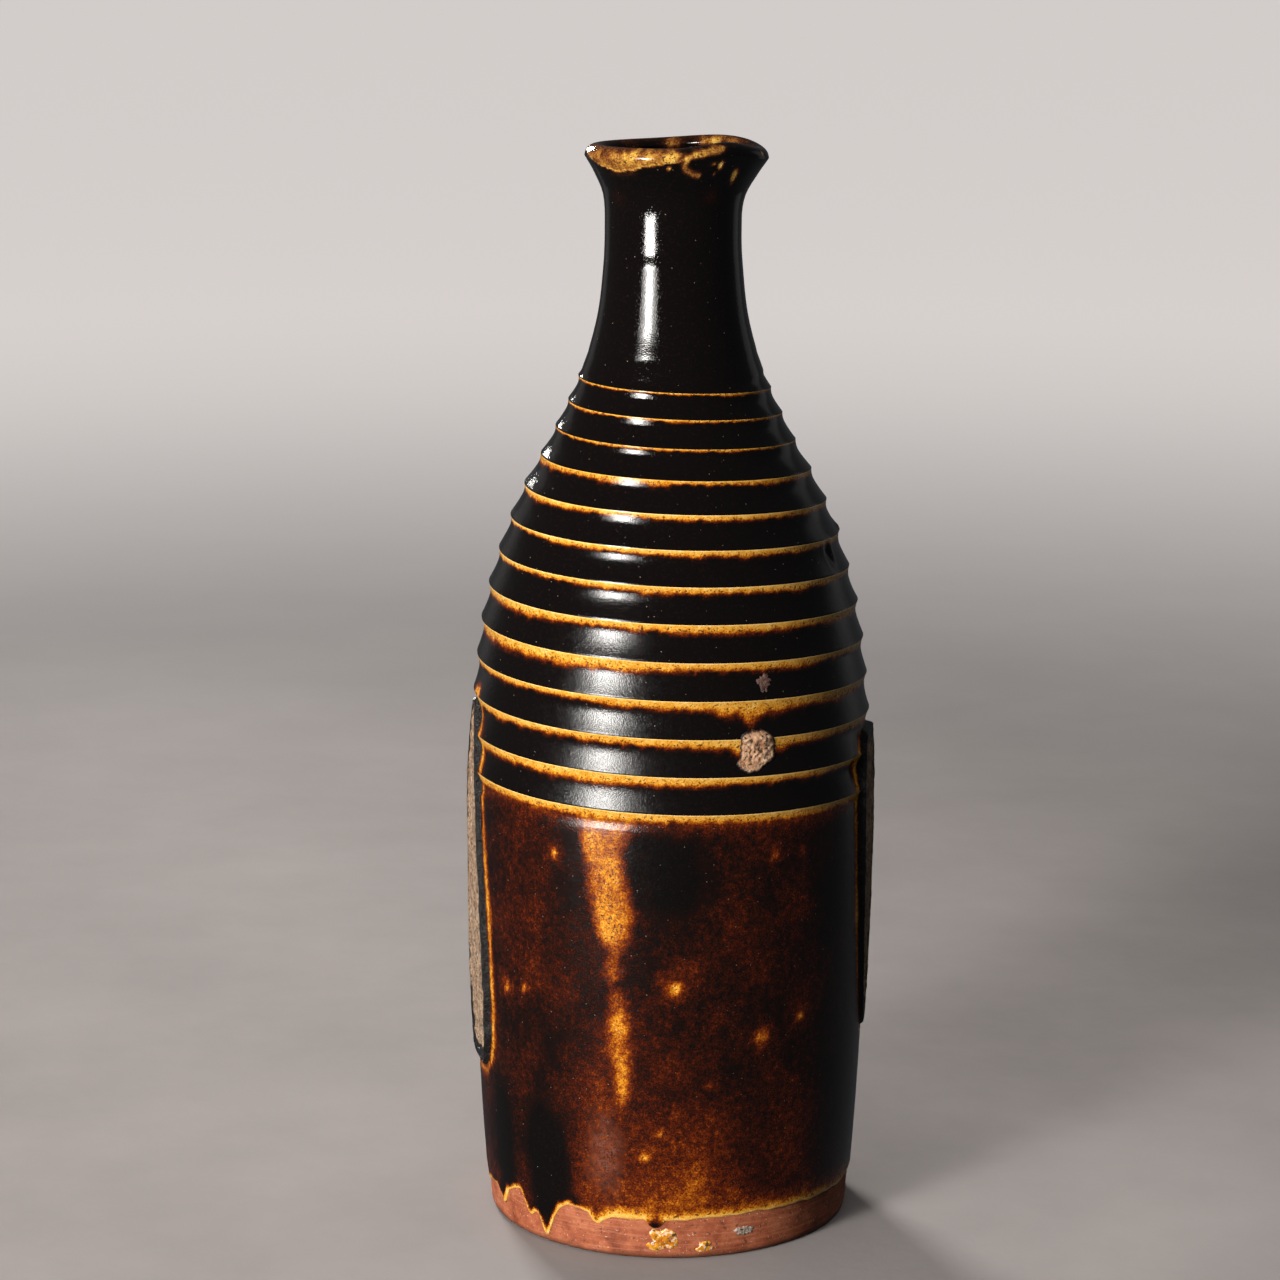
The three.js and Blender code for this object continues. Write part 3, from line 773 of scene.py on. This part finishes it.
def outline_reach(node, lean, seed):
    """How far the outline of a crust reaches, as a share, in each direction from its middle."""
    wobble = noise_round(lean, 5, seed)
    if node not in OUTLINES:
        return np.clip(0.86 + 0.45 * noise_round(lean, 2, seed) + 0.25 * wobble, 0.4, 1)
    corners = np.array(OUTLINES[node])
    reach = np.full(len(lean), 9.0)
    for (x0, z0), (x1, z1) in zip(corners, np.roll(corners, -1, axis=0)):
        # where each ray from the middle crosses this side
        c, s = np.cos(lean), np.sin(lean)
        across = c * (z1 - z0) - s * (x1 - x0)
        across = np.where(np.abs(across) < 1e-9, 1e-9, across)
        out = (x0 * (z1 - z0) - z0 * (x1 - x0)) / across
        along = (x0 * s - z0 * c) / across
        hit = (along >= -1e-6) & (along <= 1 + 1e-6) & (out > 0)
        reach = np.where(hit, np.minimum(reach, out), reach)
    return np.clip(reach * (1 + 0.1 * wobble), 0.3, 1.05)


def crust(name, node, rise, seed):
    """A crust or drop inside its CAD node's box, lumpy, with a ragged outline."""
    low, high = node_box(node)
    middle = (low + high) / 2
    half_z = (high[2] - low[2]) / 2
    lean = np.linspace(0, 2 * math.pi, 73)[:-1]
    turn, share = np.meshgrid(lean, np.linspace(0, 1, 26))
    out = share * outline_reach(node, lean, seed)[None, :]
    at = math.degrees(math.atan2(middle[1], middle[0]))
    angle = at + np.degrees(out * HALF_WIDTHS[node] * np.cos(turn) / outside_radius(middle[2]))
    z = middle[2] + out * half_z * np.sin(turn)
    wall = outside_radius(z) - GLAZE if node.startswith("foot") else wall_face(angle, z)
    lumps = roughness(angle, z, (0.6, 2.6, seed), (0.45, 1.1, seed + 3), (0.2, 0.5, seed + 5))
    top = wall + (1 - share ** 5) * np.maximum(rise * (1 + 1.1 * lumps), 0.1)
    # one point in the middle, then rings of four-sided faces about it
    rings, around = angle.shape
    faces = []
    for i in range(around):
        n = (i + 1) % around
        faces.append((0, 1 + i, 1 + n))
        for start in range(1, 1 + (rings - 2) * around, around):
            faces.append((start + i, start + around + i, start + around + n, start + n))
    border = [1 + (rings - 2) * around + i for i in range(around)]
    points = (on_wall(r, angle, z)[around - 1:] for r in (top, wall - CRUST_SINK))
    return two_sided(name, *points, faces, border, share.reshape(-1)[around - 1:] ** 4)


# ---- materials


class Shader:
    """A node tree, built a node at a time."""

    def __init__(self, name):
        self.material = bpy.data.materials.new(name)
        self.material.use_nodes = True
        self.tree = self.material.node_tree
        self.surface = self.tree.nodes["Principled BSDF"]

    def feed(self, socket, value):
        """Sets a socket to a number or colour, or links another node's output to it."""
        if isinstance(value, bpy.types.NodeSocket):
            self.tree.links.new(value, socket)
        elif socket.type == "RGBA":
            socket.default_value = (*value, 1)
        else:
            socket.default_value = value

    def add(self, kind, inputs=None, **settings):
        made = self.tree.nodes.new("ShaderNode" + kind)
        for key, value in settings.items():
            setattr(made, key, value)
        for key, value in (inputs or {}).items():
            self.feed(made.inputs[key], value)
        return made

    def place(self):
        return self.add("TexCoord").outputs["Object"]

    def height(self):
        return self.add("SeparateXYZ", {"Vector": self.place()}).outputs["Z"]

    def carried(self, name):
        """A value that the mesh carries on its corners."""
        return self.add("Attribute", attribute_name=name).outputs["Fac"]

    def noise(self, size, detail=3, rough=0.55, stretch=None):
        """Noise with features of about a size in millimetres."""
        where = self.place()
        if stretch:
            where = self.add("Mapping", {"Vector": where, "Scale": stretch}).outputs[0]
        inputs = {"Vector": where, "Scale": 1 / (size * MM), "Detail": detail, "Roughness": rough}
        return self.add("TexNoise", inputs).outputs["Fac"]

    def cells(self, size):
        """Cells of about a size in millimetres: the distance from the middle, and a value for each."""
        made = self.add("TexVoronoi", {"Vector": self.place(), "Scale": 1 / (size * MM)})
        tint = self.add("SeparateColor", {"Color": made.outputs["Color"]}).outputs[0]
        return made.outputs["Distance"], tint

    def math(self, what, *values, clamp=False):
        return self.add("Math", dict(enumerate(values)), operation=what, use_clamp=clamp).outputs[0]

    def vector(self, what, *values, output=0):
        return self.add("VectorMath", dict(enumerate(values)), operation=what).outputs[output]

    def swing(self, value, size, about):
        """Noise made to swing by a size about a value."""
        return self.math("MULTIPLY_ADD", self.math("SUBTRACT", value, 0.5), size, about)

    def spread(self, value, low, high, to_low=0, to_high=1):
        inputs = {"Value": value, "From Min": low, "From Max": high, "To Min": to_low, "To Max": to_high}
        return self.add("MapRange", inputs, interpolation_type="SMOOTHSTEP").outputs[0]

    def ramp(self, value, stops):
        made = self.add("ValToRGB", {"Fac": value})
        ramp = made.color_ramp
        while len(ramp.elements) < len(stops):
            ramp.elements.new(0.5)
        for element, (at, colour) in zip(ramp.elements, stops):
            element.position = at
            element.color = (*colour, 1)
        return made.outputs["Color"]

    def mix(self, share, a, b):
        return self.add("Mix", {0: share, 6: a, 7: b}, data_type="RGBA").outputs[2]

    def bump(self, *heights):
        """Bump maps stacked: each is a height, its depth in millimetres and its strength."""
        normal = {}
        for height, depth, strength in heights:
            inputs = {"Height": height, "Distance": depth * MM, "Strength": strength, **normal}
            normal = {"Normal": self.add("Bump", inputs).outputs[0]}
        self.feed(self.surface.inputs["Normal"], normal["Normal"])

    def finish(self, colour, roughness, **fixed):
        for key, value in {"Base_Color": colour, "Roughness": roughness, **fixed}.items():
            self.feed(self.surface.inputs[key.replace("_", " ")], value)
        return self.material


IRON_GLAZE = [
    (0, (0.86, 0.6, 0.27)), (0.1, (0.76, 0.42, 0.08)), (0.24, (0.59, 0.24, 0.015)),
    (0.4, (0.3, 0.072, 0.0032)), (0.56, (0.105, 0.015, 0.0021)), (0.72, (0.033, 0.005, 0.0017)),
    (0.87, (0.009, 0.0027, 0.0017)), (1, (0.0026, 0.0019, 0.0018)),
]
FIRED_GREENER = {"Hue": 0.517, "Saturation": 0.94, "Value": 0.86}
PAINTED_SHEEN_PLACE = (-0.0165, -0.048, 0.0285)  # where a painted sheen sits on the lower wall beside the dark runs: the key light's soft reflection


def outer_glaze_look():
    s = Shader("iron_glaze")
    thick = s.carried("coat")
    speckle = s.noise(0.45, 2, 0.6)
    mottle = s.noise(1.7, 4, 0.65)
    cloud = s.noise(9, 3, 0.5)
    # thin glaze breaks up into specks, thick glaze stays even
    uneven = s.swing(cloud, 0.15, s.swing(mottle, 0.62, s.swing(speckle, 0.62, 0)))
    free = s.math("MULTIPLY", s.spread(thick, 0.86, 0.99, 1, 0.1), s.spread(thick, 0, 0.35, 0.35, 1))
    colour = s.ramp(s.math("MULTIPLY_ADD", uneven, free, thick, clamp=True), IRON_GLAZE)
    # dark iron specks in the amber, more of them towards the black
    pits = s.spread(s.noise(0.62, 1, 0.5), 0.585, 0.64)
    pits = s.math("MULTIPLY", pits, s.spread(thick, 0.08, 0.22, 0, 0.85))
    pits = s.math("MULTIPLY", pits, s.spread(thick, 0.3, 0.45, 1, 0.15))
    colour = s.mix(pits, colour, (0.022, 0.009, 0.005))
    # a painted sheen: a milky lilac patch that stands in for the key light's soft reflection on the lower
    # wall
    stretched = s.vector("MULTIPLY", s.vector("SUBTRACT", s.place(), PAINTED_SHEEN_PLACE), (1, 1, 0.45))
    reach = s.vector("LENGTH", stretched, output="Value")
    reach = s.math("MULTIPLY_ADD", s.noise(3, 4, 0.7), 9.0 * MM, reach)
    painted_sheen = s.spread(reach, 3.0 * MM, 12.0 * MM, 0.42, 0)
    colour = s.mix(s.math("MULTIPLY", painted_sheen, s.spread(speckle, 0.35, 0.62)), colour, (0.33, 0.13, 0.085))
    # pale grit, in some of the cells
    distance, tint = s.cells(1.9)
    grit = s.math("MULTIPLY", s.spread(distance, 0.05, 0.1, 1, 0), s.spread(tint, 0.45, 1))
    colour = s.mix(s.math("MULTIPLY", grit, 0.5), colour, (0.3, 0.22, 0.15))
    # the lip fired a little greener than the rest; glassy at the neck, with a dry grain lower down
    height = s.height()
    at_lip = s.spread(height, 270 * MM, 278 * MM)
    colour = s.add("HueSaturation", {"Fac": at_lip, "Color": colour, **FIRED_GREENER}).outputs["Color"]
    dry = s.spread(height, 110 * MM, 240 * MM, 1, 0)
    rough = s.swing(mottle, 0.22, s.math("MULTIPLY_ADD", dry, 0.15, 0.06))
    rough = s.math("MULTIPLY_ADD", s.spread(thick, 0.1, 0.6, 1, 0), 0.05, rough)
    grain = s.math("MULTIPLY", s.noise(0.34, 1, 0.5), s.math("MULTIPLY_ADD", dry, 0.7, 0.3))
    raised = s.math("SUBTRACT", grit, pits)
    s.bump((s.noise(2.6, 2, 0.5), 0.1, 0.28), (grain, 0.065, 0.9), (raised, 0.05, 0.6))
    return s.finish(colour, rough, IOR=1.5, Specular_IOR_Level=0.34)


def inner_glaze_look():
    s = Shader("inner_iron_glaze")
    value = s.math("ADD", s.math("MULTIPLY", s.noise(7, 4), 0.5), 0.48, clamp=True)
    colour = s.ramp(value, IRON_GLAZE)
    s.bump((s.noise(3, 3), 0.12, 0.6))
    return s.finish(colour, s.spread(s.noise(2), 0.3, 0.7, 0.14, 0.3), Specular_IOR_Level=0.4)


STONEWARE = [(0.32, (0.17, 0.036, 0.014)), (0.5, (0.3, 0.078, 0.032)), (0.68, (0.42, 0.136, 0.062))]


def clay_look():
    s = Shader("bare_stoneware")
    grain = s.noise(0.35, 2, 0.7)
    lines = s.noise(1, 3, 0.6, stretch=(0.06, 0.06, 1.7))
    cloud = s.noise(6, 5, 0.7)
    colour = s.ramp(cloud, STONEWARE)
    colour = s.mix(s.spread(lines, 0.5, 0.72, 0, 0.35), colour, (0.52, 0.22, 0.115))
    colour = s.mix(s.spread(lines, 0.28, 0.45, 0.35, 0), colour, (0.21, 0.055, 0.027))
    specks = s.spread(s.noise(0.7, 2, 0.7), 0.65, 0.7, 0, 0.7)
    colour = s.mix(specks, colour, (0.64, 0.46, 0.32))
    dark = s.spread(s.noise(1.3, 2, 0.7), 0.63, 0.69, 0, 0.75)
    colour = s.mix(dark, colour, (0.075, 0.03, 0.018))
    # the lowest few millimetres of the foot are darker
    uneven_height = s.math("MULTIPLY_ADD", s.noise(5, 4, 0.6), 3.0 * MM, s.height())
    darker_at_base = s.spread(uneven_height, 2.1 * MM, 4.0 * MM, 0.85, 0)
    colour = s.mix(darker_at_base, colour, (0.13, 0.04, 0.018))
    s.bump((grain, 0.1, 0.6), (lines, 0.16, 0.55), (s.math("SUBTRACT", specks, dark), 0.12, 0.5))
    return s.finish(colour, s.spread(cloud, 0.3, 0.7, 0.62, 0.85), Specular_IOR_Level=0.3)


BROKEN_BROWN = [(0.28, (0.12, 0.068, 0.038)), (0.48, (0.29, 0.18, 0.105)), (0.7, (0.45, 0.32, 0.21))]
GLASSY_BLACK = [(0.4, (0.003, 0.003, 0.003)), (0.68, (0.014, 0.013, 0.013))]


def scar_look():
    s = Shader("broken_clay_with_glassy_rim")
    rim = s.carried("rim")
    grain = s.noise(0.8, 4, 0.7)
    cloud = s.noise(4, 4, 0.6)
    colour = s.ramp(cloud, BROKEN_BROWN)
    colour = s.mix(s.spread(grain, 0.4, 0.53, 0.9, 0), colour, (0.03, 0.02, 0.015))
    colour = s.mix(s.spread(grain, 0.6, 0.72, 0, 0.6), colour, (0.46, 0.37, 0.28))
    glassy = s.spread(s.swing(grain, 1.1, rim), 0.42, 0.6)
    colour = s.mix(glassy, colour, s.ramp(grain, GLASSY_BLACK))
    rough = s.spread(glassy, 0, 1, 0.9, 0.3)
    s.bump((s.noise(1.6, 3, 0.6), 0.6, 0.8), (grain, 0.45, 1), (s.noise(0.3, 2, 0.7), 0.12, 0.5))
    return s.finish(colour, rough, Specular_IOR_Level=0.28)


def grit_look(name, stops, dark_rim):
    """Rough broken stuff: a colour for each grain, dark in its cracks and round its edge."""
    s = Shader(name)
    grain = s.noise(0.9, 5, 0.72)
    _, tint = s.cells(1.5)
    colour = s.ramp(s.noise(3, 5, 0.7), stops)
    colour = s.mix(s.spread(tint, 0.4, 1, 0, 0.35), colour, stops[-1][1])
    colour = s.mix(s.spread(grain, 0.38, 0.5, 0.95, 0), colour, (0.022, 0.012, 0.009))
    edge = s.swing(grain, 1, s.carried("rim"))
    colour = s.mix(s.spread(edge, 0.55, 0.85, 0, dark_rim), colour, (0.01, 0.006, 0.005))
    s.bump((grain, 0.6, 0.9), (s.noise(0.3, 2, 0.7), 0.12, 0.6))
    return s.finish(colour, s.spread(edge, 0.5, 0.9, 0.85, 0.35), Specular_IOR_Level=0.4)


def splash_look():
    s = Shader("amber_drop")
    value = s.swing(s.noise(1.5, 3, 0.6), 0.6, 0.3)
    value = s.math("MULTIPLY_ADD", s.carried("rim"), -0.12, value, clamp=True)
    colour = s.ramp(value, IRON_GLAZE)
    white = s.spread(s.noise(1.1, 3, 0.65), 0.54, 0.6, 0, 0.75)
    colour = s.mix(white, colour, (0.66, 0.58, 0.5))
    black = s.spread(s.noise(1.6, 3, 0.65), 0.55, 0.61, 0, 0.9)
    colour = s.mix(black, colour, (0.03, 0.02, 0.015))
    s.bump((s.noise(1.2, 3, 0.6), 0.4, 0.6))
    return s.finish(colour, s.spread(white, 0, 0.8, 0.18, 0.7), Specular_IOR_Level=0.45)


# ---- the pieces


def put(piece, look, node):
    piece.data.materials.append(look)
    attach(piece, "root")
    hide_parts(node)


BROKEN_PINK = [(0.3, (0.22, 0.095, 0.045)), (0.48, (0.46, 0.235, 0.12)), (0.68, (0.66, 0.44, 0.28))]
SCORCHED = [(0.3, (0.035, 0.016, 0.011)), (0.5, (0.115, 0.055, 0.04)), (0.7, (0.21, 0.12, 0.095))]
GREY_WHITE = [(0.3, (0.15, 0.1, 0.075)), (0.5, (0.36, 0.28, 0.22)), (0.7, (0.58, 0.5, 0.43))]

put(outer_glaze(), outer_glaze_look(), "outer_glaze")
put(clay_body(), clay_look(), "clay_body")
put(inner_glaze(), inner_glaze_look(), "inner_glaze")
scar_material = scar_look()
for scar_node in SCARS:
    put(kiln_scar(scar_node), scar_material, scar_node)
amber_drop = splash_look()
broken_pink = grit_look("broken_pink_clay", BROKEN_PINK, 1)
scorched = grit_look("scorched_clay", SCORCHED, 0.8)
grey_crust = grit_look("grey_kiln_crust", GREY_WHITE, 0.3)
for piece, node, slot, look, rise, seed in (
    ("shoulder_clay_crust", "shoulder_grit", "grit", broken_pink, 0.75, 1),
    ("shoulder_clay_speck", "shoulder_grit_small", "grit", scorched, 0.22, 6),
    ("foot_drop_front", "foot_splash_front", "splash", amber_drop, 0.45, 2),
    ("foot_drop_right", "foot_splash_right", "splash", amber_drop, 0.32, 4),
    ("foot_grey_crust", "foot_crust", "grit", grey_crust, 0.3, 9),
):
    put(crust(piece, node, rise, seed), look, node)


# ---- floor, light and camera


PALE = (0.8, 0.75, 0.73)
DIM_SKY = (0.92, 0.95, 1)


def floor():
    bpy.ops.mesh.primitive_plane_add(size=80, location=(0, 0, LOW[2] * MM))
    plane = bpy.context.object
    plane.name = "floor"
    s = Shader("pale_plaster_floor")
    mottle = s.noise(90, 6, 0.62)
    near = s.ramp(mottle, [(0.3, (0.225, 0.203, 0.196)), (0.7, (0.27, 0.244, 0.235))])
    reach = s.vector("LENGTH", s.place(), output="Value")
    # far from the lights it glows faintly, so that it stays pale
    glow = {"Emission_Strength": s.spread(reach, 0.2, 2.2, 0.0, 0.36), "Emission_Color": (1.0, 0.93, 0.90)}
    s.bump((s.noise(5, 5, 0.6), 0.35, 0.3))
    colour = s.mix(s.spread(reach, 0.2, 1.7), near, PALE)
    plane.data.materials.append(s.finish(colour, 0.9, Specular_IOR_Level=0.1, **glow))
    plane.visible_glossy = False
    plane.visible_diffuse = False


def aimed(name, data, direction, elevation, distance, aim):
    """A light placed round from the front, to the right, and up, looking at the bottle's axis."""
    turn = math.radians(FRONT + direction)
    up = math.radians(elevation)
    reach = Vector((math.cos(turn) * math.cos(up), math.sin(turn) * math.cos(up), math.sin(up)))
    reach *= distance
    made = bpy.data.objects.new(name, data)
    made.location = Vector((0, 0, aim)) + reach
    made.rotation_euler = (-reach).to_track_quat("-Z", "Y").to_euler()
    made.visible_camera = False
    bpy.context.scene.collection.objects.link(made)
    return made


def lamp(name, direction, elevation, distance, width, height, power, aim=0.15, beam=180, lights_up=True):
    data = bpy.data.lights.new(name, "AREA")
    data.shape = "RECTANGLE"
    data.size = width
    data.size_y = height
    data.energy = power
    data.spread = math.radians(beam)
    data.color = (1, 0.97, 0.93)
    aimed(name, data, direction, elevation, distance, aim).visible_diffuse = lights_up


def lights():
    lamp("key_softbox", -38, 11, 1.3, 0.22, 0.42, 15, aim=0.22)
    lamp("key_halo", -38, 11, 1.32, 0.56, 0.46, 10, aim=0.22)
    lamp("low_softbox", -38, 3, 1.25, 0.34, 0.13, 9, aim=0.125)
    lamp("edge_left", -143, 4, 1.5, 0.45, 1.1, 0.18, lights_up=False)
    lamp("edge_right", 130, 4, 1.5, 0.45, 1.1, 0.22, lights_up=False)
    lamp("back_softbox", -158, 18, 1.5, 0.32, 0.3, 2.1, beam=40)
    sky = bpy.data.lights.new("overhead_sky", "SUN")
    sky.energy = 1.0
    sky.angle = math.radians(50)
    aimed("overhead_sky", sky, -30, 84, 3, 0).visible_glossy = False
    world = bpy.data.worlds.new("studio")
    bpy.context.scene.world = world
    world.use_nodes = True
    nodes, link = world.node_tree.nodes, world.node_tree.links.new
    join = nodes.new("ShaderNodeMixShader")
    link(nodes.new("ShaderNodeLightPath").outputs["Is Camera Ray"], join.inputs[0])
    dim, seen = nodes["Background"], nodes.new("ShaderNodeBackground")
    for socket, background, colour, strength in (1, dim, DIM_SKY, 0.06), (2, seen, PALE, 1):
        background.inputs["Color"].default_value = (*colour, 1)
        background.inputs["Strength"].default_value = strength
        link(background.outputs[0], join.inputs[socket])
    link(join.outputs[0], nodes["World Output"].inputs["Surface"])


def camera():
    """The viewpoint: just above the mouth, looking down at the middle of the bottle."""
    height = HIGH[2] - LOW[2]
    distance = 3.19 * height * MM
    above = 1.211 * height * MM
    pitch = math.radians(-11.88)
    yaw = math.radians(-0.516)
    roll = math.radians(0.2)
    data = bpy.data.cameras.new("camera")
    data.sensor_width = 36
    data.lens = 99.3
    made = bpy.data.objects.new("camera", data)
    look = Vector((math.sin(yaw) * math.cos(pitch), math.cos(yaw) * math.cos(pitch), math.sin(pitch)))
    side = Vector((math.cos(yaw), -math.sin(yaw), 0))
    up = side.cross(look)
    side, up = side * math.cos(roll) + up * math.sin(roll), up * math.cos(roll) - side * math.sin(roll)
    facing = Matrix((side, up, -look)).transposed().to_4x4()
    made.matrix_world = Matrix.Translation((0, -distance, LOW[2] * MM + above)) @ facing
    bpy.context.scene.collection.objects.link(made)
    bpy.context.scene.camera = made


floor()
lights()
camera()
bpy.context.scene.view_settings.view_transform = "Standard"
